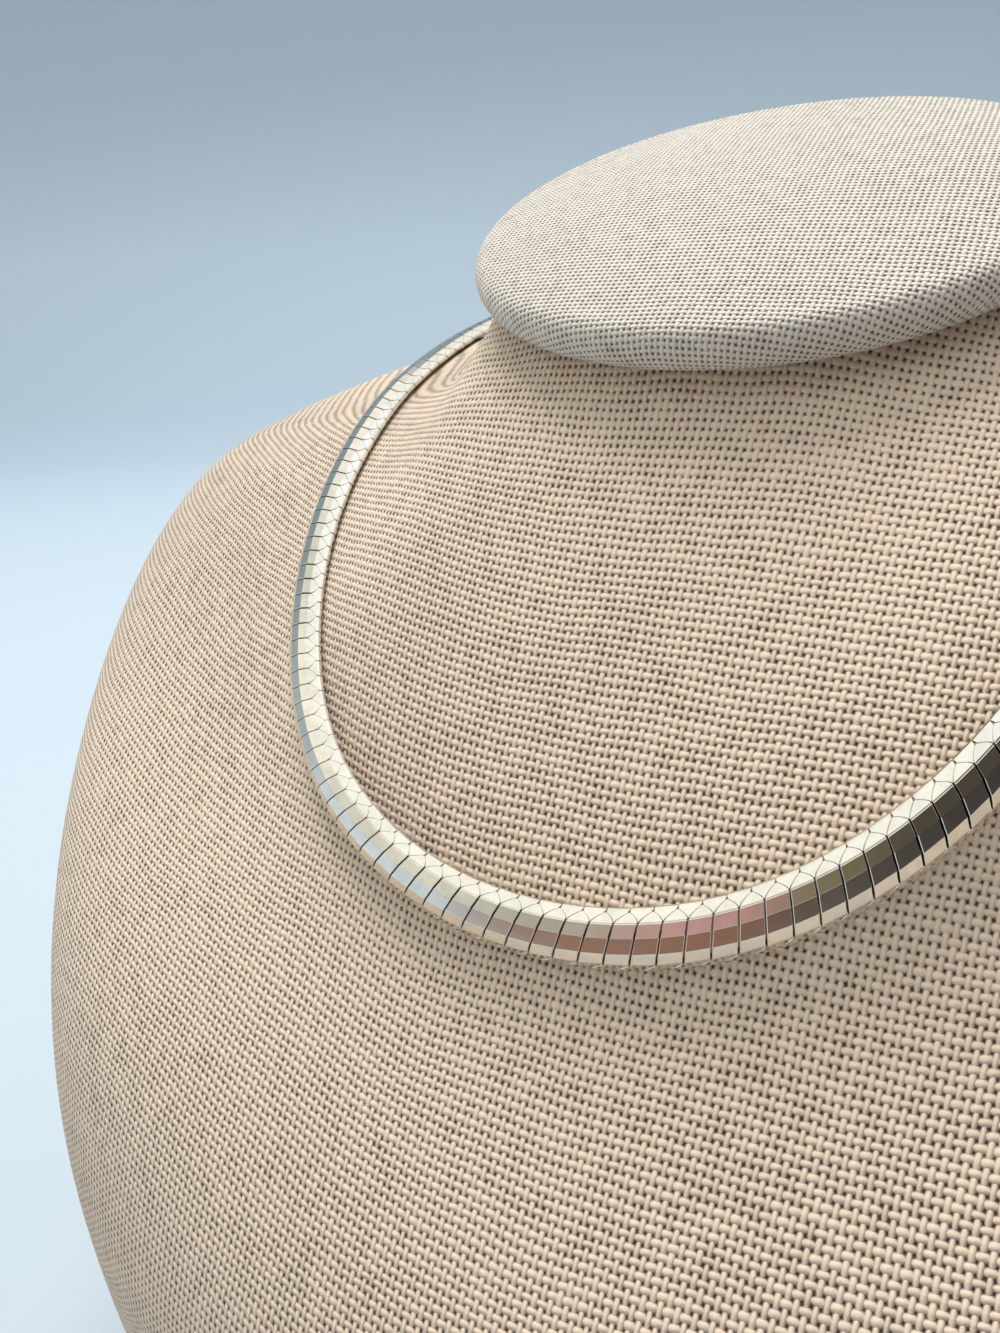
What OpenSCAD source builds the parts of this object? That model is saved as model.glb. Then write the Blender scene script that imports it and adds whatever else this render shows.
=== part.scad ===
// Omega necklace of narrow plates laid round a cloth-covered neck bust with a padded neck cap.
// Millimetres, Z up, the wearer's front toward -Y. The origin is on the floor under the middle of the bust.

/* [Bust body] */
// Widest width of the chest
chest_w = 209.2; // [190:1:230]
// Chest ring's reach to the front, measured in its tilted plane
chest_front = 95; // [88:1:104]
// Chest ring's reach to the back, measured in its tilted plane
chest_back = 86; // [78:1:94]
// Height of the chest ring at the sides
chest_z = 92; // [80:1:104]
// Rise of the chest ring from front to back, degrees
chest_tilt = 18; // [10:1:24]
// Squareness of the chest ring, 2 is an ellipse
chest_square = 2.2; // [2:0.1:2.6]
// Width of the flat base
base_w = 196; // [180:1:208]
// Share of the chest's depth that the base keeps
base_share = 0.86; // [0.78:0.01:0.94]

/* [Collar line] */
// Width of the collar line that the necklace follows
collar_w = 108.6; // [102:1:114]
// Squareness of the collar line seen from above
collar_square = 1.7; // [0.5:0.1:2.5]
// Reach of the collar line to the front of its widest place
collar_front = 60.5; // [56:0.5:64]
// Difference between its straight reach and its real reach to the front
collar_bow = 11.6; // [9:0.2:14]
// Height of the collar line at the sides
collar_z = 161.3; // [156:0.5:166]
// Drop of the collar line from the sides to the front
collar_drop = 46.7; // [40:1:50]
// Part of the drop that comes from its downward curve
collar_sag = 10.9; // [8:1:14]
// Share of the front's curve that the back half keeps
collar_back_share = 0.83; // [0.78:0.01:0.9]
// Slope of the cloth's face at the front, degrees above level
face_front = 33.6; // [28:1:38]
// Slope of the cloth's face on the shoulders, degrees above level
face_side = 75.6; // [64:1:78]
// Slope of the cloth's face at the nape, degrees above level
face_back = 32; // [26:1:44]

/* [Neck cap] */
// Width of the padded cap
cap_w = 86.9; // [82:1:92]
// Depth of the padded cap in its own plane
cap_d = 73.3; // [68:1:78]
// Forward tilt of the cap, degrees
cap_tilt = 26.7; // [22:1:31]
// Height of the cap's middle
cap_z = 186.4; // [183:0.5:190]
// Radius of the cap's rounded rim
cap_rim = 3.2; // [2.4:0.1:4]
// Rise of the padding above the rim
cap_dome = 2.5; // [1:0.1:4]
// Overhang of the cap past the neck
cap_overhang = 3.6; // [3:0.1:5]

/* [Necklace] */
// Pitches round the whole loop, the clasp's length counted in pitches
loop_pitches = 156; // [150:1:160]
// Pitches that the clasp takes
clasp_pitches = 5; // [4:1:6]
// Place of the front middle inside its plate, as a share of a pitch
plate_phase = 0.72; // [0:0.01:1]
// Width of the gap between neighbouring plates
plate_gap = 0.16; // [0.14:0.01:0.22]
// Lean of each plate along the band, degrees
plate_lean = 20; // [10:1:24]
// Width of the flat middle facet
facet_mid = 1.7; // [1.5:0.02:1.9]
// Width across the outer ends of the two sloping facets
facet_out = 4.3; // [4.1:0.05:4.5]
// Slope of the two outer facets, degrees
facet_slope = 20; // [16:1:24]
// Width across the line where the plates' pointed tips begin
tip_root = 4.6; // [4.5:0.02:4.8]
// Width across the points of the tips
tip_point = 6.2; // [6:0.05:6.4]
// Width of the band's back, whose edges reach past the tips
back_w = 6.8; // [6.6:0.05:7]
// Drop from the outer facets' ends to the line where the tips begin
tip_rise = 0.12; // [0.08:0.01:0.16]
// Drop from that line to the points of the tips
tip_drop = 0.72; // [0.6:0.02:0.8]
// Thickness of the band from the cloth side to the middle facet
band_t = 2.4; // [2.2:0.05:2.7]
// Thickness of the plates' metal
plate_t = 0.46; // [0.4:0.02:0.55]
// Gap between the cloth and the back of the band
cloth_gap = 0.32; // [0.26:0.01:0.4]
// How far the loop has slipped toward the wearer's right shoulder
loop_slip = 6; // [0:0.5:7]
// How far the band's face is turned down from the cloth's face in front, degrees
face_turn = 23; // [16:1:25]
// How far the turned band stands further off the cloth
turn_lift = 0.75; // [0.7:0.05:1]

/* [Output] */
// Node to draw, or all of them

/* [Hidden] */
// gap that keeps neighbouring pieces apart
PART_GAP = 0.12;
// the collar line's widest place lies this far behind the chest ring's middle
collar_behind = 8;
chest_y = (chest_front - chest_back) / 2 * cos(chest_tilt);
collar_y = chest_y + collar_behind;
// the cap's middle lies this far behind the collar line's widest place
cap_behind = 14.1;
cap_y = collar_y + cap_behind;
cap_axis = [0, -sin(cap_tilt), cos(cap_tilt)];
// the neck's top plane lies just under the cap's rim
neck_top = [0, cap_y, cap_z] - (cap_rim + PART_GAP) * cap_axis;
// shares of a half turn between which the shoulder slope builds up and fades to the nape
slope_from = 40;
slope_full = 96.7;
nape_from = 110;
// the whole loop rests this far down the cloth from the collar line
loop_low = 1.1;
// angles between which the band's turn builds up on the wearer's right and fades on the left
turn_from = -60;
turn_full = -20;
fade_from = 60;
fade_full = 120;
// how strongly the cloth keeps its direction at each ring before it bends away
chest_pull_front = 49;
chest_pull_side = 220;
collar_pull_side = 182;
collar_pull_up = 44;
neck_pull = 8;

function unit(v) = v / norm(v);
function smooth(x, a, b) = let (w = max(0, min(1, (x - a) / (b - a)))) w * w * (3 - 2 * w);
function turn(t) = abs(t - 360 * round(t / 360));

// point on a tilted ring whose front and back halves have their own depths
function oval(t, w, front, back, square, y, z, tilt) =
    let (k = pow(pow(abs(sin(t)), square) + pow(abs(cos(t)), square), -1 / square),
         reach = -(cos(t) > 0 ? front : back) * cos(t) * k)
    [w / 2 * sin(t) * k, y + reach * cos(tilt), z + reach * sin(tilt)];

// collar line, t is 0 at the front and 90 on the wearer's left
function collar(t) =
    let (c = cos(t), k = c < 0 ? collar_back_share : 1)
    [collar_w / 2 * sin(t) + collar_square * sin(3 * t),
     collar_y + k * (-(collar_front + collar_bow) * c + collar_bow * c * c),
     collar_z - k * ((collar_drop - collar_sag) * c + collar_sag * c * c)];

// direction up the cloth, square to the collar line
function collar_up(t) =
    let (along = unit(collar(t + 0.05) - collar(t - 0.05)),
         level = unit([along[1], -along[0], 0]),
         square = cross(level, along),
         e = face_front + (face_side - face_front) * smooth(turn(t), slope_from, slope_full)
             + (face_back - face_side) * smooth(turn(t), nape_from, 180))
    cos(e) * square - sin(e) * level;

// cubic curve from a to b that leaves along da and arrives along db
function bend(a, da, b, db, w) =
    (2 * pow(w, 3) - 3 * w * w + 1) * a + (pow(w, 3) - 2 * w * w + w) * da
    + (3 * w * w - 2 * pow(w, 3)) * b + (pow(w, 3) - w * w) * db;

function base_ring(t) =
    oval(t, base_w, chest_front * base_share, chest_back * base_share, chest_square + 0.3, chest_y, 0, 0);
function chest_ring(t) = oval(t, chest_w, chest_front, chest_back, chest_square, chest_y, chest_z, chest_tilt);
function neck_ring(t) =
    let (w = cap_w - 2 * cap_overhang, d = cap_d / 2 - cap_overhang)
    oval(t, w, d, d, 2, neck_top[1], neck_top[2], cap_tilt);

// cloth surface: v runs -2 base, -1 chest, 0 collar line, 1 neck top
function cloth(t, v) =
    let (side = pow(sin(t), 2), chest = chest_ring(t), rise = [0, 0, 1])
    v < -1 ? bend(base_ring(t), rise * chest[2] * 0.9, chest, rise * chest[2] * 1.1, v + 2) :
    v < 0 ? bend(chest, rise * (chest_pull_front * (1 - side) + chest_pull_side * side),
                 collar(t), collar_up(t) * pull_down(t), v + 1) :
    bend(collar(t), collar_up(t) * collar_pull_up, neck_ring(t), cap_axis * neck_pull, v);
function pull_down(t) = chest_pull_front * pow(cos(t), 2) + collar_pull_side * pow(sin(t), 2);

// the necklace lies this far up the cloth from the collar line
function loop_rise(t) = loop_slip * sin(t) - loop_low;
function loop_v(t) = loop_rise(t) / (loop_rise(t) < 0 ? pull_down(t) : collar_pull_up);
function loop_line(t) = cloth(t, loop_v(t));

// axes at a place of the loop: along it, up the cloth, out of the cloth
function loop_axes(t) =
    let (along = unit(loop_line(t + 0.2) - loop_line(t - 0.2)),
         v = loop_v(t),
         rough = cloth(t, v + 0.02) - cloth(t, v - 0.02),
         out = unit(cross(along, rough)) * -1,
         facing = out * (loop_line(t) - [0, collar_y, collar_z]) < 0 ? -1 * out : out)
    [along, unit(cross(facing, along)) * (cross(facing, along) * rough < 0 ? -1 : 1), facing];

// heights above the band's own floor line
face_n = cloth_gap + band_t;
fold_n = face_n - (facet_out - facet_mid) / 2 * tan(facet_slope);
root_n = fold_n - tip_rise;
point_n = root_n - tip_drop;

// share of the whole turn that the band has at a place of the loop
function turn_share(t) = smooth(t, turn_from, turn_full) * (1 - smooth(t, fade_from, fade_full));
// the band's own axes: along it, up its face, out of its face
function band_axes(t) =
    let (ax = loop_axes(t), a = face_turn * turn_share(t))
    [ax[0], ax[1] * cos(a) + ax[2] * sin(a), ax[2] * cos(a) - ax[1] * sin(a)];
// the band's floor line, which turns about the middle of its face
function band_line(t) =
    loop_line(t) + loop_axes(t)[2] * (face_n + turn_lift * turn_share(t)) - band_axes(t)[2] * face_n;

// length along the loop, from the back round the front to the back again
STEP = 2;
line_pts = [for (t = [-180:STEP:180]) loop_line(t)];
steps = [for (i = [1:len(line_pts) - 1]) norm(line_pts[i] - line_pts[i - 1])];
function running(list, i = 0, sum = 0) =
    i >= len(list) ? [sum] : concat([sum], running(list, i + 1, sum + list[i]));
lengths = running(steps);
loop_len = lengths[len(lengths) - 1];
front_len = lookup(0, [for (i = [0:len(lengths) - 1]) [-180 + i * STEP, lengths[i]]]);
angle_table = [for (i = [0:len(lengths) - 1]) [lengths[i], -180 + i * STEP]];
pitch = loop_len / loop_pitches;
// angle at the length s from the front, past the back if need be
function angle_at(s) =
    let (w = front_len + s)
    lookup(w > loop_len ? w - loop_len : w < 0 ? w + loop_len : w, angle_table);

// the clasp sits in the middle of the back, the plates fill the rest
plate_count = loop_pitches - clasp_pitches;
first_joint = -(plate_count - 1) / 2 - 0.5 + (plate_phase - 0.5);
band_half = plate_count / 2 * pitch;
band_shift = (plate_phase - 0.5) * pitch;

// plate's cross section, its outer skin and then its inner skin
plate_section = [
    [-tip_point / 2, point_n], [-tip_root / 2, root_n], [-facet_out / 2, fold_n], [-facet_mid / 2, face_n],
    [facet_mid / 2, face_n], [facet_out / 2, fold_n], [tip_root / 2, root_n], [tip_point / 2, point_n],
    [tip_point / 2 - plate_t * 0.7, point_n - plate_t * 0.7], [facet_out / 2 - plate_t * 0.3, fold_n - plate_t],
    [-facet_out / 2 + plate_t * 0.3, fold_n - plate_t], [-tip_point / 2 + plate_t * 0.7, point_n - plate_t * 0.7]];

// lean of the joints between plates, as a shift along the band for each millimetre up it
lean = tan(plate_lean);
// point of the joint at length s, at height u up the band and at middle depth of the plates
function joint_point(s, u) =
    let (t = angle_at(s), ax = band_axes(t))
    band_line(t) + ax[0] * lean * u + ax[1] * u + ax[2] * (face_n + point_n) / 2;
// outline of the plate between the joints at s0 and s1, seen in the plate's own axes
function plate_outline(s0, s1) =
    let (t = angle_at((s0 + s1) / 2), ax = band_axes(t), o = band_line(t),
         low = -tip_root / 2, high = tip_root / 2,
         ends = [for (c = [[s0, low, 1], [s1, low, -1], [s1, high, -1], [s0, high, 1]])
             let (q = joint_point(c[0], c[1]) - o) [q * ax[0] + c[2] * plate_gap / 2, q * ax[1]]])
    [[-lean * tip_point / 2, -tip_point / 2], ends[1], ends[2], [lean * tip_point / 2, tip_point / 2], ends[3], ends[0]];

// a section's right half, from its bottom edge to its top, and the same points mirrored after it
function both_halves(half) = concat(half, [for (i = [len(half) - 1:-1:0]) [-half[i][0], half[i][1]]]);

// rings that the back band is swept through
band_rings = 116;
// back band's cross section: a flat foot, edges that reach past the tips, and a hollow under each row of tips
foot_half = 2.2;
edge_low = 0.48;
edge_high = 0.8;
edge_top = 0.15;
under_plates = 0.24;
band_section = both_halves([
    [foot_half, cloth_gap], [back_w / 2, cloth_gap + edge_low], [back_w / 2 - edge_top, cloth_gap + edge_high],
    [tip_point / 2 - plate_t * 0.7, point_n - plate_t * 0.7 - under_plates],
    [facet_out / 2 - plate_t / 2, fold_n - plate_t - under_plates]]);

// clasp's cross section, a little wider and thicker than the band, with its edges taken off
clasp_half = back_w / 2 + 0.2;
clasp_n = face_n + 0.2;
edge_off = 0.5;
clasp_section = both_halves([
    [clasp_half - edge_off, cloth_gap], [clasp_half, cloth_gap + edge_off],
    [clasp_half, clasp_n - edge_off], [clasp_half - edge_off, clasp_n]]);

// quads between neighbouring rings of n points, each cut in two, with flat ends
function skin(rings, n) = concat(
    [for (r = [0:rings - 2]) for (i = [0:n - 1]) [r * n + i, r * n + (i + 1) % n, (r + 1) * n + (i + 1) % n]],
    [for (r = [0:rings - 2]) for (i = [0:n - 1]) [r * n + i, (r + 1) * n + (i + 1) % n, (r + 1) * n + i]],
    [[for (i = [n - 1:-1:0]) i]],
    [[for (i = [0:n - 1]) (rings - 1) * n + i]]);

// section carried along the loop from length s0 to s1, its rings leaning like the plates
module swept(section, s0, s1, count) {
    pts = [for (k = [0:count])
        let (t = angle_at(s0 + (s1 - s0) * k / count), ax = band_axes(t), o = band_line(t))
        for (p = section) o + (ax[0] * lean + ax[1]) * p[0] + ax[2] * p[1]];
    polyhedron(points = pts, faces = skin(count + 1, len(section)), convexity = 6);
}

// rotation that carries X along the loop, Y up the cloth and Z out of it
function spin(ax) =
    let (ry = -asin(max(-1, min(1, ax[0][2]))))
    [atan2(ax[1][2], ax[2][2]), ry, atan2(ax[0][1], ax[0][0])];

module plate(outline) {
    intersection() {
        translate([0, 0, point_n - 1]) linear_extrude(height = 3 + face_n - point_n) polygon(outline);
        rotate([90, 0, 90]) translate([0, 0, -pitch * 2]) linear_extrude(height = pitch * 4) polygon(plate_section);
    }
}

module bust_body() {
    levels = [-2, -1.75, -1.5, -1.25, -1, -0.93, -0.86, -0.78, -0.69, -0.6, -0.5, -0.4, -0.3, -0.2, -0.12, -0.05,
        0.03, 0.12, 0.22, 0.34, 0.48, 0.64, 0.82, 1];
    n = 72;
    pts = [for (v = levels) for (i = [0:n - 1]) cloth(i * 360 / n, v)];
    color([0.78, 0.72, 0.62]) polyhedron(points = pts, faces = skin(len(levels), n), convexity = 4);
}

module neck_cap() {
    n = 60;
    // inset from the widest edge and height from the rim's middle
    rim = [for (a = [-90:30:90]) [cap_rim * (1 - cos(a)), cap_rim * sin(a)]];
    pad = [for (w = [0.12, 0.3, 0.52, 0.78]) [cap_rim + w * (cap_d / 2 - cap_rim), cap_rim + cap_dome * (1 - pow(1 - w, 2))]];
    profile = concat(rim, pad);
    pts = [for (p = profile) for (i = [0:n - 1])
        let (q = oval(i * 360 / n, cap_w - 2 * p[0], cap_d / 2 - p[0], cap_d / 2 - p[0], 2, cap_y, cap_z, cap_tilt))
        q + cap_axis * p[1]];
    color([0.83, 0.78, 0.69]) polyhedron(points = pts, faces = skin(len(profile), n), convexity = 2);
}

module back_band() {
    color([0.80, 0.66, 0.36]) swept(band_section, band_shift - band_half, band_shift + band_half, band_rings);
}

module front_plates() {
    color([0.86, 0.84, 0.80])
    for (k = [0:plate_count - 1]) {
        s0 = (first_joint + k) * pitch;
        t = angle_at(s0 + pitch / 2);
        translate(band_line(t)) rotate(spin(band_axes(t))) plate(plate_outline(s0, s0 + pitch));
    }
}

module clasp() {
    half = clasp_pitches * pitch / 2 - PART_GAP;
    middle = loop_len / 2 + band_shift;
    color([0.80, 0.66, 0.36]) swept(clasp_section, middle - half, middle + half, 6);
}

bust_body();
neck_cap();
back_band();
front_plates();
clasp();
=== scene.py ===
"""Looks of the omega necklace on its neck bust.

Shapes are worked out in millimetres and built in metres.
"""
import math
import bpy
import numpy as np
from mathutils import Matrix


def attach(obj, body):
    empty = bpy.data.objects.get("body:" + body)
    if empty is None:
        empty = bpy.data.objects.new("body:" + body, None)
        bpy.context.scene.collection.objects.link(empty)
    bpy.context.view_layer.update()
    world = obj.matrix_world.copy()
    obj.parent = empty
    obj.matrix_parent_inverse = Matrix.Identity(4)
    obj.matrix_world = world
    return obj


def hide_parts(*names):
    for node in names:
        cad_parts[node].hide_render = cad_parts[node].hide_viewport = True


MM = 0.001
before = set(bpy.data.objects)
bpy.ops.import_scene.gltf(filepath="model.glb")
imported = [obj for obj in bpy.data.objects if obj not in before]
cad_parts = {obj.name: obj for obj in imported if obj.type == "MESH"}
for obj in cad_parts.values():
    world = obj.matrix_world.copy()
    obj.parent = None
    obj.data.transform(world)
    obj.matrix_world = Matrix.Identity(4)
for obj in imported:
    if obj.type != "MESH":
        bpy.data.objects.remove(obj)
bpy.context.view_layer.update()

# sizes of the bust
CHEST_W, CHEST_FRONT, CHEST_BACK, CHEST_Z, CHEST_TILT, CHEST_SQUARE = 209.2, 95.0, 86.0, 92.0, 18.0, 2.2
BASE_W, BASE_SHARE, BASE_SQUARE = 196.0, 0.86, CHEST_SQUARE + 0.3
COLLAR_W, COLLAR_SQUARE, COLLAR_FRONT, COLLAR_BOW = 108.6, 1.7, 60.5, 11.6
COLLAR_Z, COLLAR_DROP, COLLAR_SAG, COLLAR_BACK_SHARE = 161.3, 46.7, 10.9, 0.83
FACE_FRONT, FACE_SIDE, FACE_BACK = 33.6, 75.6, 32.0
CAP_W, CAP_D, CAP_TILT, CAP_Z, CAP_RIM, CAP_DOME, CAP_OVERHANG = 86.9, 73.3, 26.7, 186.4, 3.2, 2.5, 3.6
PART_GAP = 0.12
SLOPE_FROM, SLOPE_FULL, NAPE_FROM = 40.0, 96.7, 110.0
PULL_FRONT, PULL_SIDE, COLLAR_PULL_SIDE, COLLAR_PULL_UP, NECK_PULL = 49.0, 220.0, 182.0, 44.0, 8.0
BASE_PULL, CHEST_PULL = 0.9, 1.1
CHEST_Y = (CHEST_FRONT - CHEST_BACK) / 2 * math.cos(math.radians(CHEST_TILT))
COLLAR_BEHIND, CAP_BEHIND = 8, 14.1
COLLAR_Y = CHEST_Y + COLLAR_BEHIND
CAP_Y = COLLAR_Y + CAP_BEHIND
CAP_AXIS = np.array([0, -math.sin(math.radians(CAP_TILT)), math.cos(math.radians(CAP_TILT))])
NECK_TOP = np.array([0, CAP_Y, CAP_Z]) - (CAP_RIM + PART_GAP) * CAP_AXIS

# mean spacings of the bust cloth's warp and weft yarns
WARP, WEFT = 0.86, 1.05

# sizes of the necklace
LOOP_PITCHES, CLASP_PITCHES, PLATE_PHASE, PLATE_GAP, PLATE_LEAN = 156, 5, 0.72, 0.16, 20.0
FACET_MID, FACET_OUT, TIP_ROOT, TIP_POINT, BACK_W = 1.7, 4.3, 4.6, 6.2, 6.8
BAND_T, PLATE_T, CLOTH_GAP, LOOP_SLIP, LOOP_LOW = 2.4, 0.46, 0.32, 6.0, 1.1
FACET_SLOPE, TIP_RISE, TIP_DROP = 20.0, 0.12, 0.72
FACE_TURN, TURN_LIFT, TURN_FROM, TURN_FULL, FADE_FROM, FADE_FULL = 23.0, 0.75, -60.0, -20.0, 60.0, 120.0
FACE_N = CLOTH_GAP + BAND_T
FOLD_N = FACE_N - (FACET_OUT - FACET_MID) / 2 * math.tan(math.radians(FACET_SLOPE))
ROOT_N = FOLD_N - TIP_RISE
POINT_N = ROOT_N - TIP_DROP
LEAN = math.tan(math.radians(PLATE_LEAN))
UP = np.array([0.0, 0.0, 1.0])

# small steps, in degrees and in shares, that the loop's axes are taken over
ASIDE, ABOVE = 0.2, 0.02


def sind(t):
    """Sine of an angle in degrees."""
    return np.sin(np.radians(t))


def cosd(t):
    """Cosine of an angle in degrees."""
    return np.cos(np.radians(t))


def unit(v):
    return v / np.linalg.norm(v, axis=-1, keepdims=True)


def smooth(x, a, b):
    """Share that rises softly from 0 at a to 1 at b."""
    w = np.clip((x - a) / (b - a), 0, 1)
    return w * w * (3 - 2 * w)


def stack(x, y, z):
    return np.stack(np.broadcast_arrays(x, y, z), -1).astype(float)


def oval(t, w, front, back, square, y, z, tilt):
    """Point on a tilted ring whose front and back halves have their own depths."""
    s, c = sind(t), cosd(t)
    k = (np.abs(s) ** square + np.abs(c) ** square) ** (-1 / square)
    reach = -np.where(c > 0, front, back) * c * k
    return stack(w / 2 * s * k, y + reach * cosd(tilt), z + reach * sind(tilt))


def collar(t):
    """Collar line, t is 0 at the front and 90 on the wearer's left."""
    c = cosd(t)
    k = np.where(c < 0, COLLAR_BACK_SHARE, 1)
    return stack(COLLAR_W / 2 * sind(t) + COLLAR_SQUARE * sind(3 * t),
                 COLLAR_Y + k * (-(COLLAR_FRONT + COLLAR_BOW) * c + COLLAR_BOW * c * c),
                 COLLAR_Z - k * ((COLLAR_DROP - COLLAR_SAG) * c + COLLAR_SAG * c * c))


def collar_up(t):
    """Direction up the cloth, square to the collar line."""
    along = unit(collar(t + 0.05) - collar(t - 0.05))
    level = unit(stack(along[..., 1], -along[..., 0], 0 * along[..., 0]))
    square = np.cross(level, along)
    turned = np.abs(t - 360 * np.round(t / 360))
    e = (FACE_FRONT + (FACE_SIDE - FACE_FRONT) * smooth(turned, SLOPE_FROM, SLOPE_FULL)
         + (FACE_BACK - FACE_SIDE) * smooth(turned, NAPE_FROM, 180))[..., None]
    return cosd(e) * square - sind(e) * level


def bend(a, da, b, db, w):
    """Cubic curve from a to b that leaves along da and arrives along db."""
    w = w[..., None]
    return ((2 * w ** 3 - 3 * w * w + 1) * a + (w ** 3 - 2 * w * w + w) * da
            + (3 * w * w - 2 * w ** 3) * b + (w ** 3 - w * w) * db)


def pull_down(t):
    """Length of the bend that leaves the collar line downward."""
    return PULL_FRONT * cosd(t) ** 2 + COLLAR_PULL_SIDE * sind(t) ** 2


def cloth(t, v):
    """Cloth surface: v runs -2 base, -1 chest, 0 collar line, 1 neck top."""
    t, v = np.broadcast_arrays(np.asarray(t, float), np.asarray(v, float))
    side = sind(t)[..., None] ** 2
    chest = oval(t, CHEST_W, CHEST_FRONT, CHEST_BACK, CHEST_SQUARE, CHEST_Y, CHEST_Z, CHEST_TILT)
    base = oval(t, BASE_W, CHEST_FRONT * BASE_SHARE, CHEST_BACK * BASE_SHARE, BASE_SQUARE, CHEST_Y, 0, 0)
    deep = CAP_D / 2 - CAP_OVERHANG
    neck = oval(t, CAP_W - 2 * CAP_OVERHANG, deep, deep, 2, NECK_TOP[1], NECK_TOP[2], CAP_TILT)
    line, up = collar(t), collar_up(t)
    lower = bend(base, UP * chest[..., 2:] * BASE_PULL, chest, UP * chest[..., 2:] * CHEST_PULL, v + 2)
    chest_pull = UP * (PULL_FRONT * (1 - side) + PULL_SIDE * side)
    middle = bend(chest, chest_pull, line, up * pull_down(t)[..., None], v + 1)
    upper = bend(line, up * COLLAR_PULL_UP, neck, CAP_AXIS * NECK_PULL, v)
    v = v[..., None]
    return np.where(v < -1, lower, np.where(v < 0, middle, upper))


def loop_v(t):
    """Place of the loop on the cloth, up from the collar line."""
    rise = LOOP_SLIP * sind(t) - LOOP_LOW
    return rise / np.where(rise < 0, pull_down(t), COLLAR_PULL_UP)


def loop_line(t):
    return cloth(t, loop_v(t))


def loop_axes(t):
    """Axes at a place of the loop: along it, up the cloth, out of the cloth."""
    along = unit(loop_line(t + ASIDE) - loop_line(t - ASIDE))
    v = loop_v(t)
    rough = cloth(t, v + ABOVE) - cloth(t, v - ABOVE)
    out = unit(np.cross(rough, along))
    away = np.sum(out * (loop_line(t) - np.array([0, COLLAR_Y, COLLAR_Z])), -1, keepdims=True)
    out = np.where(away < 0, -out, out)
    up = unit(np.cross(out, along))
    up = np.where(np.sum(up * rough, -1, keepdims=True) < 0, -up, up)
    return along, up, out


def turn_share(t):
    """Share of the whole turn that the band's face has at t."""
    return smooth(t, TURN_FROM, TURN_FULL) * (1 - smooth(t, FADE_FROM, FADE_FULL))


def band_axes(t):
    """The band's own axes: along it, up its face, out of its face."""
    along, up, out = loop_axes(t)
    a = FACE_TURN * np.asarray(turn_share(t))[..., None]
    return along, up * cosd(a) + out * sind(a), out * cosd(a) - up * sind(a)


def band_line(t):
    """The band's floor line, which turns about the middle of its face."""
    lift = FACE_N + TURN_LIFT * np.asarray(turn_share(t))[..., None]
    return loop_line(t) + loop_axes(t)[2] * lift - band_axes(t)[2] * FACE_N


# lengths along the loop at every second degree, and the plates' places on it
STEP = 2.0
table_t = np.arange(-180, 180 + STEP, STEP)
table_s = np.r_[0, np.cumsum(np.linalg.norm(np.diff(loop_line(table_t), axis=0), axis=1))]
LOOP_LEN = table_s[-1]
FRONT_LEN = np.interp(0, table_t, table_s)
PITCH = LOOP_LEN / LOOP_PITCHES
PLATES = LOOP_PITCHES - CLASP_PITCHES
FIRST = -(PLATES - 1) / 2 - 0.5 + (PLATE_PHASE - 0.5)


def angle_at(s):
    """Angle at a length along the loop, counted from the middle of the front."""
    return np.interp((FRONT_LEN + np.asarray(s, float)) % LOOP_LEN, table_s, table_t)


def mesh_object(name, points, faces, material, smooth_shade=False, uv=None):
    """Object from points in millimetres; uv holds one pair for each point."""
    mesh = bpy.data.meshes.new(name)
    mesh.from_pydata([tuple(p) for p in np.asarray(points) * MM], [], [tuple(f) for f in faces])
    mesh.materials.append(material)
    if uv is not None:
        layer = mesh.uv_layers.new(name="Cloth")
        index = np.zeros(len(mesh.loops), np.int32)
        mesh.loops.foreach_get("vertex_index", index)
        layer.data.foreach_set("uv", np.asarray(uv, np.float32)[index].ravel())
    mesh.polygons.foreach_set("use_smooth", [smooth_shade] * len(mesh.polygons))
    mesh.update()
    obj = bpy.data.objects.new(name, mesh)
    bpy.context.scene.collection.objects.link(obj)
    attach(obj, "root")
    return obj


def ring_faces(rings, n, first=0):
    """Quads between neighbouring closed rings of n points, with flat ends."""
    faces = []
    for r in range(rings - 1):
        a = first + r * n
        for i in range(n):
            j = (i + 1) % n
            faces.append((a + i, a + j, a + n + j, a + n + i))
    faces.append(tuple(first + i for i in range(n - 1, -1, -1)))
    faces.append(tuple(first + (rings - 1) * n + i for i in range(n)))
    return faces


# sockets of a colour mix node: its two colours and its result
MIX_A, MIX_B, MIX_OUT = 6, 7, 2


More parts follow.
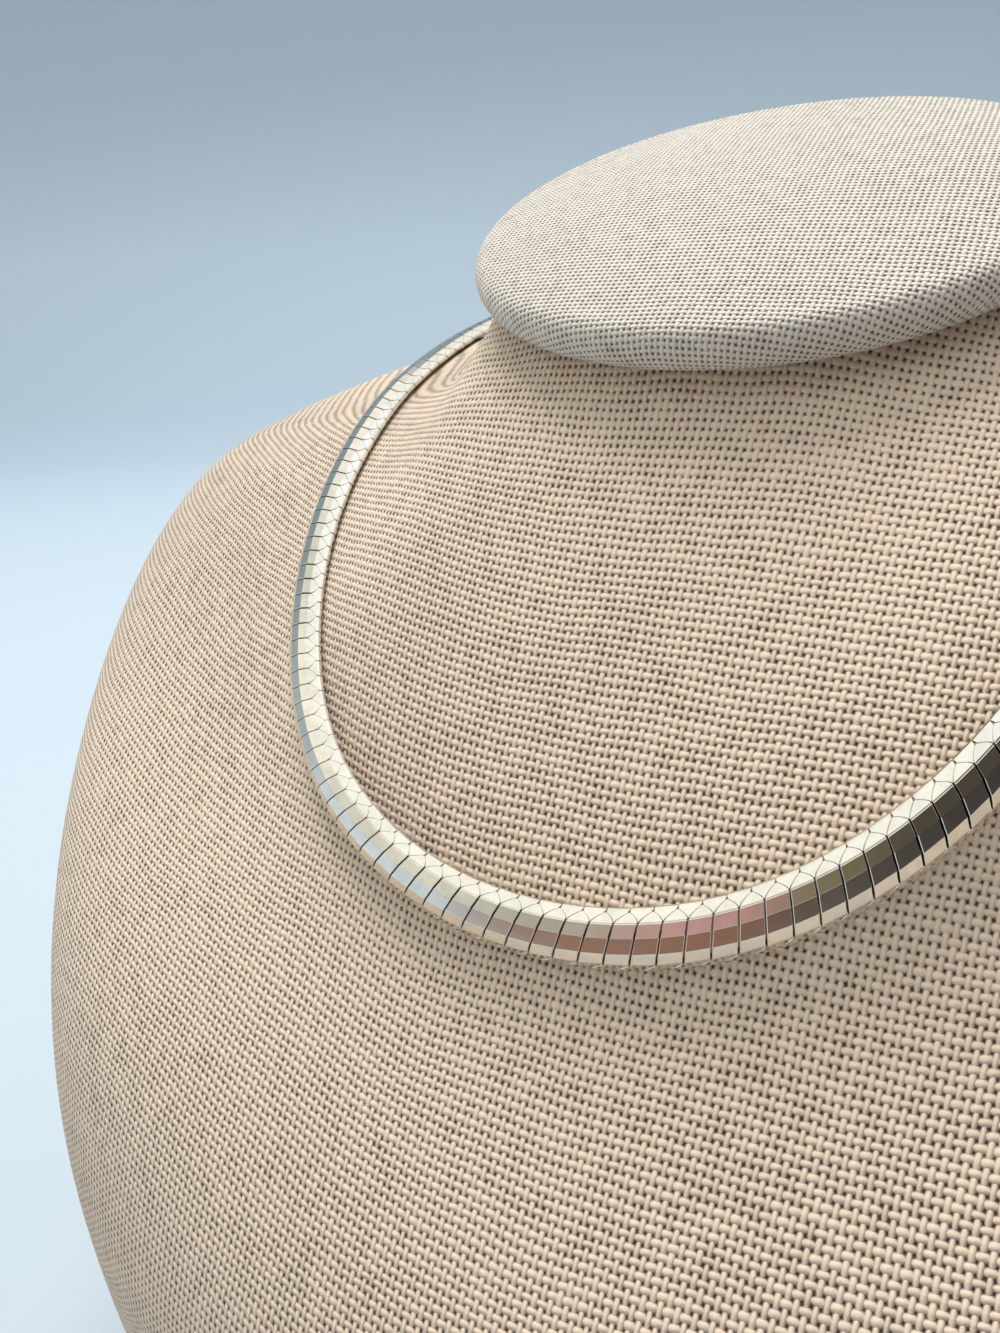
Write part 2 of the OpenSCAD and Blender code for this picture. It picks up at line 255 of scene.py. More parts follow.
class Nodes:
    """Short way to write a material's node tree."""

    def __init__(self, name):
        self.material = bpy.data.materials.new(name)
        self.material.use_nodes = True
        self.tree = self.material.node_tree
        self.bsdf = self.tree.nodes["Principled BSDF"]

    def put(self, socket, value):
        if hasattr(value, "is_output"):
            self.tree.links.new(value, socket)
        elif value is not None:
            socket.default_value = value

    def math(self, operation, a, b=None):
        node = self.tree.nodes.new("ShaderNodeMath")
        node.operation = operation
        for socket, value in zip(node.inputs, (a, b)):
            self.put(socket, value)
        return node.outputs[0]

    def mix(self, share, a, b):
        node = self.tree.nodes.new("ShaderNodeMix")
        node.data_type = "RGBA"
        self.put(node.inputs[0], share)
        self.put(node.inputs[MIX_A], a)
        self.put(node.inputs[MIX_B], b)
        return node.outputs[MIX_OUT]

    def coords(self, kind):
        return self.tree.nodes.new("ShaderNodeTexCoord").outputs[kind]

    def noise(self, vector, scale, detail=3.0, rough=0.5):
        node = self.tree.nodes.new("ShaderNodeTexNoise")
        self.put(node.inputs["Vector"], vector)
        node.inputs["Scale"].default_value = scale
        node.inputs["Detail"].default_value = detail
        node.inputs["Roughness"].default_value = rough
        return node.outputs["Fac"]

    def remap(self, value, a, b, c, d):
        node = self.tree.nodes.new("ShaderNodeMapRange")
        for i, x in enumerate((value, a, b, c, d)):
            self.put(node.inputs[i], x)
        return node.outputs[0]

    def combine(self, x, y, z=0.0):
        node = self.tree.nodes.new("ShaderNodeCombineXYZ")
        for i, v in enumerate((x, y, z)):
            self.put(node.inputs[i], v)
        return node.outputs[0]

    def separate(self, vector):
        node = self.tree.nodes.new("ShaderNodeSeparateXYZ")
        self.put(node.inputs[0], vector)
        return node.outputs

    def bump(self, height, strength, distance):
        node = self.tree.nodes.new("ShaderNodeBump")
        node.inputs["Strength"].default_value = strength
        node.inputs["Distance"].default_value = distance
        self.put(node.inputs["Height"], height)
        self.put(self.bsdf.inputs["Normal"], node.outputs[0])


# cloth: how far yarns wander, in yarns, their half width, and the heights of their round and their wave
YARN_WANDER, YARN_THIN, YARN_THICK = 1.6, 0.35, 0.49
YARN_ROUND, YARN_WAVE, GROUND_H, FUZZ_H = 0.9, 0.35, -0.2, 0.2
# heights between which the colour goes from painted shade, dark in the hollows and along the yarns' low
# edges, to the yarn's own light colour, changes of tone, and depth of the bump
SHADE_FROM, SHADE_TO, PATCH_TONE, SLUB_TONE = 0.16, 0.86, 0.10, 0.12
WEAVE_DEPTH = 0.26


def weave_material(name, light, dark, warp, weft):
    """Plain weave of round yarns whose low places get the dark colour as painted shade; warp and weft are the
    yarn spacings in millimetres.
    """
    m = Nodes(name)
    uv = m.separate(m.coords("UV"))
    place = m.coords("Object")

    def wandering(across, spacing, scale):
        """Count of yarns up to a place, with a soft wander."""
        stray = m.math("SUBTRACT", m.noise(place, scale, 2.0), 0.5)
        return m.math("ADD", m.math("DIVIDE", across, spacing), m.math("MULTIPLY", stray, YARN_WANDER))

    u, v = wandering(uv[0], warp, 45.0), wandering(uv[1], weft, 60.0)
    cell_u, cell_v = m.math("FLOOR", u), m.math("FLOOR", v)
    thick_u = m.noise(m.combine(m.math("MULTIPLY", cell_u, 7.31), m.math("MULTIPLY", v, 0.35)), 1.0, 1.0)
    thick_v = m.noise(m.combine(m.math("MULTIPLY", u, 0.35), m.math("MULTIPLY", cell_v, 5.17), 9.0), 1.0, 1.0)

    def yarn(across, along, own_cell, thick, sign):
        """Height of one set of yarns, round across and waving along."""
        off = m.math("SUBTRACT", m.math("FRACT", across), 0.5)
        q = m.math("DIVIDE", off, m.remap(thick, 0.25, 0.75, YARN_THIN, YARN_THICK))
        round_h = m.math("SUBTRACT", 1.0, m.math("MULTIPLY", q, q))
        parity = m.math("COSINE", m.math("MULTIPLY", own_cell, math.pi))
        wave = m.math("MULTIPLY", m.math("SINE", m.math("MULTIPLY", along, math.pi)), parity)
        round_h = m.math("MULTIPLY", round_h, YARN_ROUND)
        return m.math("ADD", round_h, m.math("MULTIPLY", wave, YARN_WAVE * sign))

    height = m.math("MAXIMUM", yarn(u, v, cell_u, thick_u, 1.0), yarn(v, u, cell_v, thick_v, -1.0))
    height = m.math("MAXIMUM", height, GROUND_H)
    height = m.math("ADD", height, m.math("MULTIPLY", m.noise(place, 2600.0, 2.0), FUZZ_H))
    # painted shade: the lower the yarn surface, the nearer its colour comes to the dark one, darkest in the
    # holes between yarns
    shade = m.remap(height, SHADE_FROM, SHADE_TO, 0.0, 1.0)
    patch = m.remap(m.noise(place, 18.0, 4.0), 0.3, 0.7, -PATCH_TONE, PATCH_TONE)
    slub = m.math("MULTIPLY", m.math("ADD", thick_u, thick_v), 0.5)
    tone = m.math("ADD", patch, m.remap(slub, 0.3, 0.7, -SLUB_TONE, SLUB_TONE))
    share = m.math("MINIMUM", m.math("MAXIMUM", m.math("ADD", shade, tone), 0.0), 1.0)
    m.put(m.bsdf.inputs["Base Color"], m.mix(share, (*dark, 1), (*light, 1)))
    m.bsdf.inputs["Roughness"].default_value = 0.92
    m.bsdf.inputs["Sheen Weight"].default_value = 0.25
    m.bsdf.inputs["Sheen Roughness"].default_value = 0.6
    m.bsdf.inputs["Specular IOR Level"].default_value = 0.2
    m.bump(height, 1.0, WEAVE_DEPTH * MM)
    return m.material


# metal: darkening and roughening by wear, share of the fine scratches, and strength and depth of the bump
WEAR_DARK, WEAR_ROUGH, SCRATCHES, METAL_BUMP, METAL_DEPTH = 0.86, 0.1, 0.35, 0.12, 0.03


def metal_material(name, colour, rough):
    """Polished metal with soft wear and fine scratches."""
    m = Nodes(name)
    place = m.coords("Object")
    wear = m.noise(place, 420.0, 4.0, 0.6)
    fine = m.noise(place, 5200.0, 2.0)
    worn = tuple(c * WEAR_DARK for c in colour)
    m.put(m.bsdf.inputs["Base Color"], m.mix(m.remap(wear, 0.35, 0.7, 0.0, 1.0), (*colour, 1), (*worn, 1)))
    m.bsdf.inputs["Metallic"].default_value = 1.0
    m.put(m.bsdf.inputs["Roughness"], m.remap(wear, 0.3, 0.7, rough, rough + WEAR_ROUGH))
    m.bump(m.math("ADD", m.math("MULTIPLY", fine, SCRATCHES), wear), METAL_BUMP, METAL_DEPTH * MM)
    return m.material


# yarn spacings of the cap's cloth, and colours of the cloths and metals; each cloth's second colour is
# painted shade for the hollows between its yarns
CAP_WARP, CAP_WEFT = 0.80, 0.82
BODY_CLOTH = weave_material("body linen", (0.86, 0.71, 0.57), (0.065, 0.03, 0.014), WARP, WEFT)
CAP_CLOTH = weave_material("cap linen", (0.86, 0.81, 0.745), (0.11, 0.07, 0.045), CAP_WARP, CAP_WEFT)
PLATE_METAL = metal_material("plate metal", (0.92, 0.88, 0.80), 0.10)
BAND_METAL = metal_material("band metal", (0.93, 0.90, 0.81), 0.12)
CLASP_METAL = metal_material("clasp metal", (0.93, 0.90, 0.81), 0.14)

# rounds of the search for the threads' fields, and a length that keeps divisions safe
ROUNDS = 400
TINY = 1e-9


def spread_field(grid, wish, care, guess):
    """Scalar field on the grid, found by conjugate gradients.

    Its slope comes near the wished vectors, above all where care is high.
    """
    across, along = np.diff(grid, axis=1), np.diff(grid, axis=0)
    len1, len2 = np.linalg.norm(across, axis=2) + 1e-6, np.linalg.norm(along, axis=2) + 1e-6
    wide = np.pad((len2[1:] + len2[:-1]) / 2, ((1, 1), (0, 0)), mode="edge")
    tall = np.pad((len1[:, 1:] + len1[:, :-1]) / 2, ((0, 0), (1, 1)), mode="edge")
    w1 = (wide[:, 1:] + wide[:, :-1]) / 2 / len1 * (care[:, 1:] + care[:, :-1])
    w2 = (tall[1:] + tall[:-1]) / 2 / len2 * (care[1:] + care[:-1])
    d1 = np.sum(across * (wish[:, 1:] + wish[:, :-1]) / 2, axis=2)
    d2 = np.sum(along * (wish[1:] + wish[:-1]) / 2, axis=2)

    def gather(r1, r2):
        """Sum at each grid point of what its edges bring."""
        out = np.zeros(grid.shape[:2])
        out[:, 1:] += r1
        out[:, :-1] -= r1
        out[1:] += r2
        out[:-1] -= r2
        return out

    weight = np.zeros(grid.shape[:2])
    weight[:, 1:] += w1
    weight[:, :-1] += w1
    weight[1:] += w2
    weight[:-1] += w2
    field = guess.copy()
    rest = gather(w1 * (d1 - np.diff(field, axis=1)), w2 * (d2 - np.diff(field, axis=0)))
    step = rest / weight
    way, old = step.copy(), np.sum(rest * step)
    for _ in range(ROUNDS):
        pushed = gather(w1 * np.diff(way, axis=1), w2 * np.diff(way, axis=0))
        a = old / np.sum(way * pushed)
        field += a * way
        rest -= a * pushed
        step = rest / weight
        new = np.sum(rest * step)
        way, old = step + new / old * way, new
    return field


# the warps' density at the height that the rules start from, and how it falls per millimetre up
WARP_DENSE, WARP_SPREAD, RULE_Z = 1.089, 0.004, 104


def cloth_threads(grid, t):
    """Places across the warp and across the weft, in millimetres at the yarns' mean spacing."""
    du, dv = np.gradient(grid, axis=1), np.gradient(grid, axis=0)
    n = unit(np.cross(du, dv) + np.array([0, 0, TINY]))
    x, z = grid[..., :1], grid[..., 2:]
    tangent_x = np.array([1.0, 0, 0]) - n[..., :1] * n
    tangent_z = UP - n[..., 2:] * n
    round_body = unit(np.stack([-n[..., 1], n[..., 0], 0 * n[..., 0]], -1) + TINY)
    facing = np.sign(round_body[..., :1] + TINY)
    sideways = smooth(np.abs(n[..., :1]), 0.7, 0.95)

    # the warps spread as they rise, and crowd in the hollow beside the neck
    crowd = 0.35 * np.exp(-((x + 31) / 9) ** 2 - ((z - 150) / 14) ** 2)
    dense = WARP_DENSE - WARP_SPREAD * (z - RULE_Z) + crowd
    straight = (tangent_x * dense - WARP_SPREAD * x * tangent_z) * facing
    wish_u = straight * (1 - sideways) + round_body * sideways * dense

    # the wefts turn down toward the wearer's right, but hardly on the neck
    level = unit(unit(tangent_x + TINY) * facing * (1 - sideways) + round_body * sideways)
    rise = np.cross(n, level)
    front = smooth(cosd(t)[None, :, None], -0.3, 0.3)
    neck, shoulder = smooth(z, 134, 166) * (1 - smooth(-x, 48, 66)), smooth(-x, 50, 82)
    turn = 2.5 + 15 * smooth(-x, 5, 30) * (1 - 0.95 * neck) + 4.8 * shoulder
    turn += 12 * smooth(x, 5, 26) * smooth(z, 138, 152) - 6 * smooth(x, -5, 20) * (1 - smooth(z, 108, 140))
    turn = np.radians(turn) * front

    # the wefts lie wider apart up the neck, and closer on the wearer's right of the chest
    spacing = 0.985 + 0.0025 * (z - RULE_Z) + 0.0105 * np.maximum(z - 141, 0)
    chest_side = 0.3 * smooth(-x, 15, 60) * (1 - smooth(z, 100, 132))
    spacing *= 1 - chest_side - 0.08 * smooth(-x, 20, 35) * smooth(z, 110, 140)
    wish_v = (level * np.sin(turn) + rise * np.cos(turn)) * (WEFT / np.clip(spacing, 0.68, 1.4))

    # the visible front counts most
    care = 0.03 + 0.97 * (smooth(cosd(t)[None, :], -0.1, 0.3) * smooth(grid[..., 2], 40, 80))
    fields = spread_field(grid, wish_u, care, grid[..., 0]), spread_field(grid, wish_v, care, grid[..., 2])
    return np.stack(fields, -1)


def build_bust():
    """Cloth of chest, shoulders and neck, as a grid of rings with flat ends."""
    around = 288
    below, chest, neck = np.linspace(-2, -1, 24), np.linspace(-1, 0, 90), np.linspace(0, 1, 49)
    levels = np.r_[below[:-1], chest[:-1], neck]
    t = np.arange(around + 1) * 360 / around - 180
    grid = cloth(t[None, :], levels[:, None])
    uv = cloth_threads(grid, t).reshape(-1, 2)
    points = grid.reshape(-1, 3)
    n = around + 1
    faces = [(r * n + i, r * n + i + 1, (r + 1) * n + i + 1, (r + 1) * n + i)
             for r in range(len(levels) - 1) for i in range(around)]
    faces.append(tuple(range(around - 1, -1, -1)))
    faces.append(tuple((len(levels) - 1) * n + i for i in range(around)))
    obj = mesh_object("bust_cloth", points, faces, BODY_CLOTH, True, uv)
    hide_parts("bust_body")


# cap: angles round its rim, shares of the way across its pad, how far its underside reaches in,
# and the turn of its threads in degrees
RIM_ANGLES = np.radians(np.arange(-90, 91, 10))
PAD_SHARES = (0.03, 0.08, 0.15, 0.25, 0.38, 0.52, 0.66, 0.78, 0.88, 0.95, 0.985)
UNDER_SHARE, CAP_THREAD_TURN = 0.6, 4


def build_cap():
    """Padded cap: its underside, rounded rim and domed pad."""
    around = 240
    across = CAP_D / 2 - CAP_RIM
    under = across * UNDER_SHARE
    rim = [(CAP_RIM * (1 - math.cos(a)), CAP_RIM * math.sin(a)) for a in RIM_ANGLES]
    pad = [(CAP_RIM + w * across, CAP_RIM + CAP_DOME * (1 - (1 - w) ** 2)) for w in PAD_SHARES]
    profile = np.array([(CAP_RIM + under, -CAP_RIM)] + rim + pad)
    t = np.arange(around) * 360 / around
    rings = [oval(t, CAP_W - 2 * i, CAP_D / 2 - i, CAP_D / 2 - i, 2, CAP_Y, CAP_Z, CAP_TILT) + CAP_AXIS * h
             for i, h in profile]
    points = np.concatenate(rings)

    # threads run straight across the pad and on down over the rim
    drops = [math.pi * CAP_RIM + 2 * under]
    drops += [CAP_RIM * (math.pi / 2 - a - math.cos(a)) for a in RIM_ANGLES]
    drops += [0.0] * len(pad)
    drop = np.repeat(drops, around)[:, None]
    up_pad = points @ np.array([0, cosd(CAP_TILT), sind(CAP_TILT)])
    flat = np.stack([points[:, 0], up_pad], -1)
    flat += drop * np.tile(np.stack([sind(t), -cosd(t)], -1), (len(rings), 1))
    a = math.radians(CAP_THREAD_TURN)
    uv = flat @ np.array([[math.cos(a), math.sin(a)], [-math.sin(a), math.cos(a)]])
    obj = mesh_object("cap_cloth", points, ring_faces(len(rings), around), CAP_CLOTH, True, uv)
    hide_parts("neck_cap")


# plates: half width of a crease, share of the thickness left at the tips, width and drop of the
# taken-off edges, and the share of a narrow row that they may take
CREASE, OUTER_DROP, TIP_THIN = 0.02, 0.05, 0.7
EDGE_W, EDGE_DROP, EDGE_SHARE = 0.06, 0.05, 0.3
FRONT_TIP_STEPS = (0.2, 0.4, 0.58, 0.74, 0.87, 0.96)
BACK_TIP_STEPS = (0.05, 0.22, 0.4, 0.58, 0.74, 0.87, 0.97)


def tip_width(f):
    """Share of the full width that a tip keeps at the share f of its length."""
    return float((1 - np.clip(f, 0, 1) ** 1.3) ** 0.85)


def tip_place(f):
    """Place up the band and height of a tip at the share f of its length."""
    return TIP_ROOT / 2 + f * (TIP_POINT - TIP_ROOT) / 2, ROOT_N - f * TIP_DROP


def front_rows():
    """Rows of a front plate from its lower tip to its upper: place up the band, height, width share."""
    slope = CREASE * math.tan(math.radians(FACET_SLOPE))
    rows = [(FACET_MID / 2 - CREASE, FACE_N, 1.0), (FACET_MID / 2 + CREASE, FACE_N - slope, 1.0),
            (FACET_OUT / 2 - CREASE, FOLD_N + slope, 1.0),
            (FACET_OUT / 2 + CREASE, FOLD_N - OUTER_DROP, 1.0), (TIP_ROOT / 2, ROOT_N, 1.0)]
    rows += [(*tip_place(f), tip_width(f)) for f in FRONT_TIP_STEPS]
    return [(-y, n, w) for y, n, w in rows[::-1]] + rows


def plate_ring(left, right, n, thick):
    """Six points across a plate: its face, its two taken-off edges and its underside."""
    e = min(EDGE_W, (right - left) * EDGE_SHARE)
    d = EDGE_DROP * e / EDGE_W
    return [(left, n - thick), (left, n - d), (left + e, n),
            (right - e, n), (right, n - d), (right, n - thick)]


def joint_place(s, u, o, a0):
    """How far along a0 from o the leaning joint at length s lies, at height u up the band."""
    t = angle_at(s)
    along, up, out = band_axes(t)
    return (band_line(t) + (along * LEAN + up) * u + out * (FACE_N + POINT_N) / 2 - o) @ a0


def build_front_plates():
    """Bent front plates side by side, each between two leaning joints."""
    points, faces, rows = [], [], front_rows()
    low, high = -TIP_ROOT / 2, TIP_ROOT / 2
    for k in range(PLATES):
        s0 = (FIRST + k) * PITCH
        t = angle_at(s0 + PITCH / 2)
        o, (a0, a1, a2) = band_line(t), band_axes(t)
        left = [joint_place(s0, u, o, a0) + PLATE_GAP / 2 for u in (low, high)]
        right = [joint_place(s0 + PITCH, u, o, a0) - PLATE_GAP / 2 for u in (low, high)]
        first = len(points)
        for y, n, w in rows:
            share = (y - low) / (high - low)
            x0, x1 = left[0] + (left[1] - left[0]) * share, right[0] + (right[1] - right[0]) * share
            mid, half = (x0 + x1) / 2, (x1 - x0) / 2 * w
            thick = PLATE_T * (1 if w == 1 else TIP_THIN)
            for x, h in plate_ring(mid - half, mid + half, n, thick):
                points.append(o + a0 * x + a1 * y + a2 * h)
        faces += ring_faces(len(rows), 6, first)
    obj = mesh_object("front_plates_polished", points, faces, PLATE_METAL)
    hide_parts("front_plates")


# back plates: their thickness, their least half width, and the round of their edge. Each row of
# the round holds how far outside the band's edge it lies, and its height
BACK_T, BACK_LEAST = 0.3, 0.01
BACK_HALF = BACK_W / 2
EDGE_ROUND = ((-0.15, POINT_N - 0.15), (-0.02, POINT_N - 0.36), (0.02, POINT_N - 0.6),
              (-0.12, POINT_N - 0.82), (-0.42, CLOTH_GAP + 0.12), (-1.0, CLOTH_GAP))
# the core strip inside: its outline, as place up the band and height, and its number of stations
CORE = ((-2.2, 0.75), (2.2, 0.75), (2.6, 1.05), (1.9, 1.5), (-1.9, 1.5), (-2.6, 1.05))
CORE_STATIONS = 302


def back_rows():
    """Rows of a back plate, from its lower tip round the band's back to its upper tip.

    Each row holds its place up the band, its height and its share of the plate's width.
    """
    rows = [(*tip_place(f), 1 - tip_width(f)) for f in BACK_TIP_STEPS]
    rows += [(BACK_HALF + out, n, 1.0) for out, n in EDGE_ROUND]
    rows.append((0.0, CLOTH_GAP, 1.0))
    return [(-y, n, w) for y, n, w in rows] + rows[-2::-1]


def build_back_band():
    """Back plates, whose tips show between those of the front plates, and the core inside them."""
    rows = back_rows()
    path = np.array([(y, n) for y, n, _ in rows])
    way = np.gradient(path, axis=0)
    way /= np.linalg.norm(way, axis=1, keepdims=True)
    inward = np.stack([-way[:, 1], way[:, 0]], -1)
    points, faces = [], []
    for k in range(PLATES + 1):
        s = (FIRST + k) * PITCH
        t = angle_at(s)
        o, (a0, a1, a2) = band_line(t), band_axes(t)
        reach = []
        for side in (-1, 1):
            # the first and the last back plate are half as wide
            at = s + side * PITCH / 2 if 0 <= k + (side - 1) / 2 < PLATES else s
            gap = side * PLATE_GAP / 2 * (at != s)
            reach.append([joint_place(at, u, o, a0) - gap for u in (-BACK_HALF, BACK_HALF)])
        middle = [joint_place(s, u, o, a0) for u in (-BACK_HALF, BACK_HALF)]
        first = len(points)
        for (y, n, w), side in zip(rows, inward):
            share = np.clip((y + BACK_HALF) / (2 * BACK_HALF), 0, 1)
            c, x0, x1 = (lo + (hi - lo) * share for lo, hi in (middle, *reach))
            x0, x1 = c - BACK_LEAST - (c - x0) * w, c + BACK_LEAST + (x1 - c) * w
            for x, d in plate_ring(x0, x1, 0.0, BACK_T):
                p = np.array([y, n]) - side * d
                points.append(o + a0 * x + a1 * p[0] + a2 * p[1])
        faces += ring_faces(len(rows), 6, first)
    first = len(points)
    t = angle_at(np.linspace(FIRST * PITCH, (FIRST + PLATES) * PITCH, CORE_STATIONS))
    o, (a0, a1, a2) = band_line(t), band_axes(t)
    for i in range(len(t)):
        for y, n in CORE:
            points.append(o[i] + (a0[i] * LEAN + a1[i]) * y + a2[i] * n)
    faces += ring_faces(len(t), len(CORE), first)
    obj = mesh_object("back_band_plates", points, faces, BAND_METAL)
    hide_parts("back_band")


# clasp: how far it stands past the band, its taken-off corners and ends, the place of the cut
# between case and tongue head, half the cut's width, and its number of stations
CLASP_OVER, CLASP_CUT, CLASP_ROUND, CLASP_END = 0.2, 0.5, 0.3, 0.12
CLASP_SPLIT, SPLIT_HALF, CLASP_STATIONS = 0.72, 0.1, 13


def build_clasp():
    """Box clasp in two parts, the case and the head of its tongue."""
    half = BACK_W / 2 + CLASP_OVER
    low, high, cut = CLOTH_GAP, FACE_N + CLASP_OVER, CLASP_CUT
    small = cut * CLASP_ROUND
    corner = [(half - cut, low), (half - small, low + small), (half, low + cut), (half, high - cut),
              (half - small, high - small), (half - cut, high)]
    section = corner + [(-y, n) for y, n in corner[::-1]]
    start = (FIRST + PLATES) * PITCH + PART_GAP
    end = (FIRST + LOOP_PITCHES) * PITCH - PART_GAP
    split = start + (end - start) * CLASP_SPLIT
    points, faces = [], []
    for s0, s1 in ((start, split - SPLIT_HALF), (split + SPLIT_HALF, end)):
        first = len(points)
        t = angle_at(s0 + (s1 - s0) * np.linspace(0, 1, CLASP_STATIONS))
        o, (a0, a1, a2) = band_line(t), band_axes(t)
        for i in range(CLASP_STATIONS):
            inset = CLASP_END if i in (0, CLASP_STATIONS - 1) else 0.0
            for y, n in section:
                m = (low + high) / 2
                y2, n2 = y * (1 - inset / half), m + (n - m) * (1 - inset)
                points.append(o[i] + (a0[i] * LEAN + a1[i]) * y2 + a2[i] * n2)
        faces += ring_faces(CLASP_STATIONS, len(section), first)
    obj = mesh_object("clasp_box", points, faces, CLASP_METAL)
    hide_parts("clasp")


# stage in metres: where the floor starts, where it begins to curve up, the curve's radius,
# the wall's top and half the width, and its turn in degrees
FLOOR_FROM, CURVE_FROM, CURVE, WALL_TOP, STAGE_HALF, STAGE_TURN = -3.0, 1.6, 1.4, 3.4, 5.0, 27.5
# paint of the sweep by the way back and up, and of its front: the photo's view shows the brown
# and dark bands only as mirror images in the metal, other views show them on the floor
# the sweep's pale blue gets darker further back as painted shade, then lighter up the wall as painted light
# that offsets the window light's fall-off on the curve
PALE, PAINTED_MIDDLE_SHADE, PAINTED_WALL_LIGHT = (0.53, 0.625, 0.715, 1), (0.43, 0.535, 0.645, 1), (0.68, 0.84, 0.99, 1)
BROWN, DARK, AHEAD = (0.22, 0.105, 0.07, 1), (0.05, 0.045, 0.04, 1), 25


def build_stage():
    """Pale sweep that curves up into a wall far behind, painted darker further back as painted shade and
    lighter up the wall as painted light, and brown and dark in front on the right.
    """
    line = [(FLOOR_FROM, 0.0), (CURVE_FROM, 0.0)]
    line += [(CURVE_FROM + CURVE * math.sin(a), CURVE * (1 - math.cos(a)))
             for a in np.radians(np.arange(3, 91, 3))]
    line.append((CURVE_FROM + CURVE, WALL_TOP))
    turned, ahead_turn = math.radians(STAGE_TURN), math.radians(AHEAD)
    ax, ay = (math.cos(turned), math.sin(turned)), (-math.sin(turned), math.cos(turned))
    points = [(ax[0] * x + ay[0] * y, ax[1] * x + ay[1] * y, z)
              for y, z in line for x in (-STAGE_HALF, STAGE_HALF)]
    faces = [(2 * i, 2 * i + 1, 2 * i + 3, 2 * i + 2) for i in range(len(line) - 1)]
    sweep = bpy.data.meshes.new("floor")
    sweep.from_pydata(points, [], faces)
    sweep.polygons.foreach_set("use_smooth", [True] * len(faces))
    m = Nodes("floor paint")
    place = m.coords("Object")
    grain = m.noise(place, 30.0, 2.0)
    at = m.separate(place)

    def distance(x, y):
        """Distance along the level direction (x, y)."""
        return m.math("ADD", m.math("MULTIPLY", at[0], x), m.math("MULTIPLY", at[1], y))

    away = m.math("ADD", distance(*ay), at[2])
    # painted shade further back, then painted light up the wall
    paint = m.mix(m.remap(away, 0.1, 1.1, 0.0, 1.0), PALE, PAINTED_MIDDLE_SHADE)
    paint = m.mix(m.remap(away, 1.2, 2.8, 0.0, 1.0), paint, PAINTED_WALL_LIGHT)
    ahead = distance(math.sin(ahead_turn), -math.cos(ahead_turn))
    shade = m.mix(m.remap(ahead, 0.60, 0.85, 0.0, 1.0), BROWN, DARK)
    m.put(m.bsdf.inputs["Base Color"], m.mix(m.remap(ahead, 0.24, 0.36, 0.0, 1.0), paint, shade))
    m.put(m.bsdf.inputs["Roughness"], m.remap(grain, 0.0, 1.0, 0.8, 0.9))
    sweep.materials.append(m.material)
    obj = bpy.data.objects.new("floor", sweep)
    bpy.context.scene.collection.objects.link(obj)


# window: its place and aim in metres, its side, power and colour
WINDOW_PLACE, WINDOW_AIM = (-0.475, 0.566, 1.73), (0, 0, 0.14)
WINDOW_SIDE, WINDOW_POWER, WINDOW_COLOUR = 0.8, 26.0, (1.0, 0.98, 0.95)


def build_window():
    """Square soft light, left out of the metal's mirror images."""
    data = bpy.data.lights.new("window", "AREA")
    data.shape, data.size = "SQUARE", WINDOW_SIDE
    data.energy, data.color = WINDOW_POWER, WINDOW_COLOUR
    obj = bpy.data.objects.new("window", data)
    place = np.array(WINDOW_PLACE)
    z = unit(place - np.array(WINDOW_AIM))
    x = unit(np.cross(UP, z))
    y = np.cross(z, x)
    obj.matrix_world = Matrix([[x[i], y[i], z[i], place[i]] for i in range(3)] + [[0, 0, 0, 1]])
    obj.visible_glossy = False
    bpy.context.scene.collection.objects.link(obj)


# camera: place in millimetres, angles in degrees, lens and sensor width
CAMERA_PLACE, CAMERA_ANGLES, LENS, SENSOR = (32.98, -125.91, 178.52), (27.488, 21.443, 3.20), 34.2, 36.0


def build_camera():
    """Camera at the photo's viewing angle."""
    yaw, pitch, roll = (math.radians(a) for a in CAMERA_ANGLES)
    view = np.array([-math.sin(yaw) * math.cos(pitch), math.cos(yaw) * math.cos(pitch), -math.sin(pitch)])
    level = np.array([math.cos(yaw), math.sin(yaw), 0])
    down = np.cross(view, level)
    right = math.cos(roll) * level + math.sin(roll) * down
    low = -math.sin(roll) * level + math.cos(roll) * down
    data = bpy.data.cameras.new("camera")
    data.sensor_fit, data.sensor_width, data.lens = "HORIZONTAL", SENSOR, LENS
    data.clip_start, data.clip_end = 0.002, 20.0
    obj = bpy.data.objects.new("camera", data)
    place = np.array(CAMERA_PLACE) * MM
    obj.matrix_world = Matrix([[right[i], -low[i], -view[i], place[i]] for i in range(3)] + [[0, 0, 0, 1]])
    bpy.context.scene.collection.objects.link(obj)
    bpy.context.scene.camera = obj


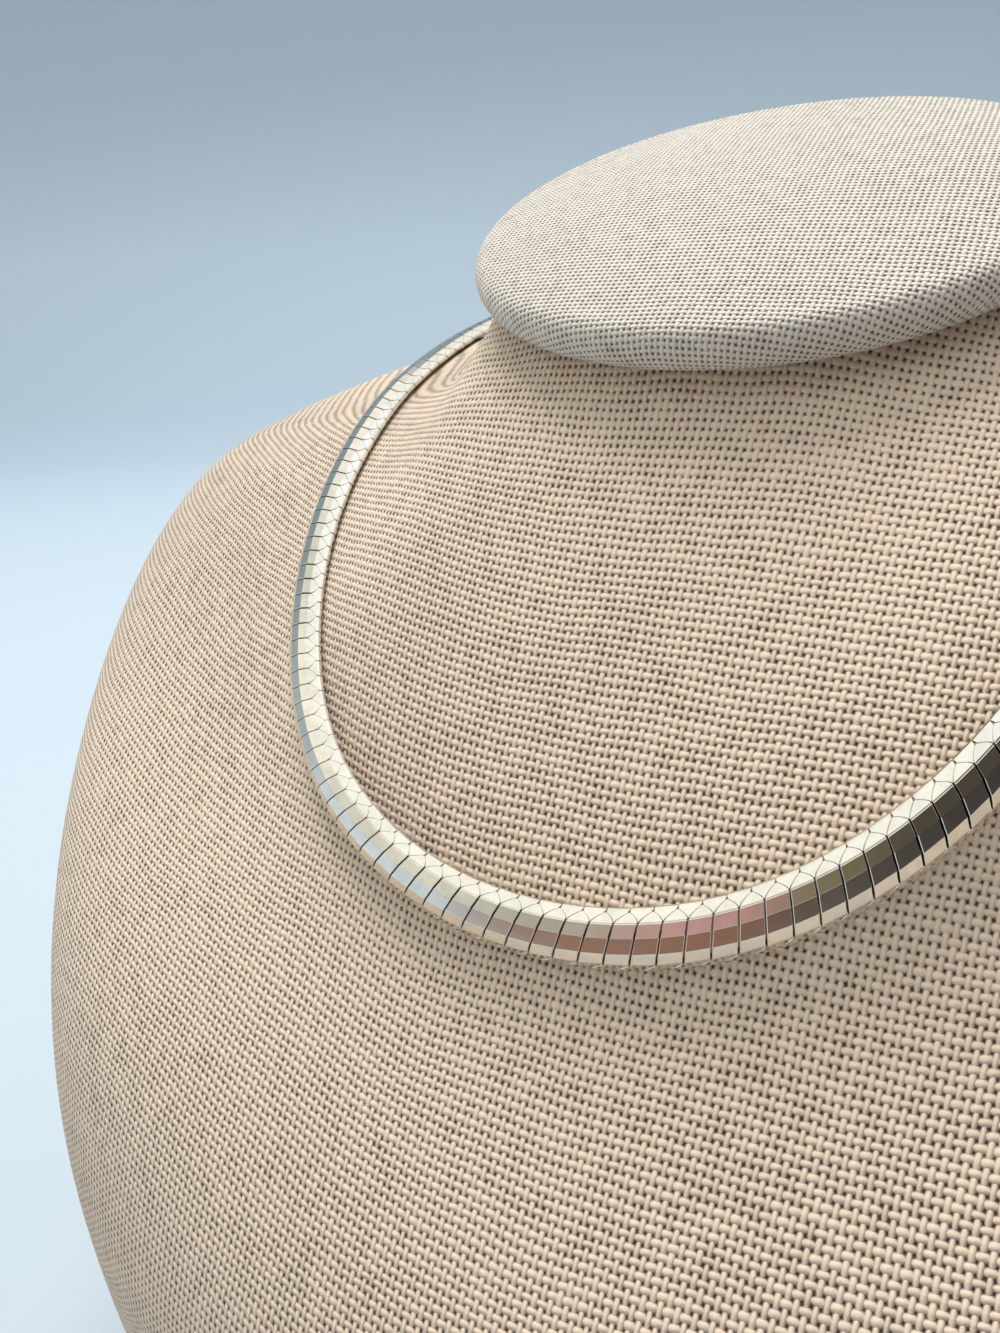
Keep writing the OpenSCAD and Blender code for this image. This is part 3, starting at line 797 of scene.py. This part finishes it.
# colour of the room, and of each soft patch in it the azimuth, elevation, radius and softness in
# degrees, and the colour
ROOM = (0.50, 0.53, 0.47, 1)
WORLD_PATCHES = (
    (0, 90, 28, 12, (1.15, 1.22, 1.30)),
    (-48, 60, 24, 8, (1.08, 1.08, 1.02)),
    (-140, 52, 26, 10, (1.05, 1.04, 0.96)),
    (124, 50, 24, 10, (1.00, 0.97, 0.95)),
    (-75, 28, 14, 6, (1.05, 1.03, 0.90)),
    (-46, 20, 15, 6, (0.76, 0.76, 0.68)),
    (-19, 24, 8, 4, (0.42, 0.42, 0.35)),
    (-3, 26, 11, 4, (0.56, 0.32, 0.32)),
    (17, 28, 12, 4, (0.20, 0.17, 0.10)),
    (60, 0, 30, 8, (0.05, 0.045, 0.045)),
    (42, 32, 20, 6, (0.07, 0.06, 0.05)),
)


def toward(azimuth, elevation):
    """Direction at an azimuth, 0 straight in front, and an elevation in degrees."""
    a, e = math.radians(azimuth), math.radians(elevation)
    return (math.sin(a) * math.cos(e), -math.cos(a) * math.cos(e), math.sin(e))


def build_world():
    """Soft room light: bright overhead and on the left, dim and brown where the photographer stands."""
    world = bpy.data.worlds.new("studio")
    bpy.context.scene.world = world
    world.use_nodes = True
    tree = world.node_tree
    ray = tree.nodes.new("ShaderNodeTexCoord").outputs["Generated"]

    def patch(under, azimuth, elevation, radius, soft, colour):
        """Colour of the room so far, with one more soft patch over it."""
        dot = tree.nodes.new("ShaderNodeVectorMath")
        dot.operation = "DOT_PRODUCT"
        tree.links.new(ray, dot.inputs[0])
        dot.inputs[1].default_value = toward(azimuth, elevation)
        span = tree.nodes.new("ShaderNodeMapRange")
        tree.links.new(dot.outputs["Value"], span.inputs[0])
        span.inputs[1].default_value = math.cos(math.radians(radius + soft))
        span.inputs[2].default_value = math.cos(math.radians(max(radius - soft, 0)))
        mix = tree.nodes.new("ShaderNodeMix")
        mix.data_type = "RGBA"
        tree.links.new(span.outputs[0], mix.inputs[0])
        if isinstance(under, tuple):
            mix.inputs[MIX_A].default_value = under
        else:
            tree.links.new(under, mix.inputs[MIX_A])
        mix.inputs[MIX_B].default_value = (*colour, 1)
        return mix.outputs[MIX_OUT]

    light = ROOM
    for azimuth, elevation, radius, soft, colour in WORLD_PATCHES:
        light = patch(light, azimuth, elevation, radius, soft, colour)
    tree.links.new(light, tree.nodes["Background"].inputs[0])
    tree.nodes["Background"].inputs[1].default_value = 1.0


build_bust()
build_cap()
build_front_plates()
build_back_band()
build_clasp()
build_stage()
build_window()
build_camera()
build_world()
bpy.context.scene.view_settings.view_transform = "Standard"
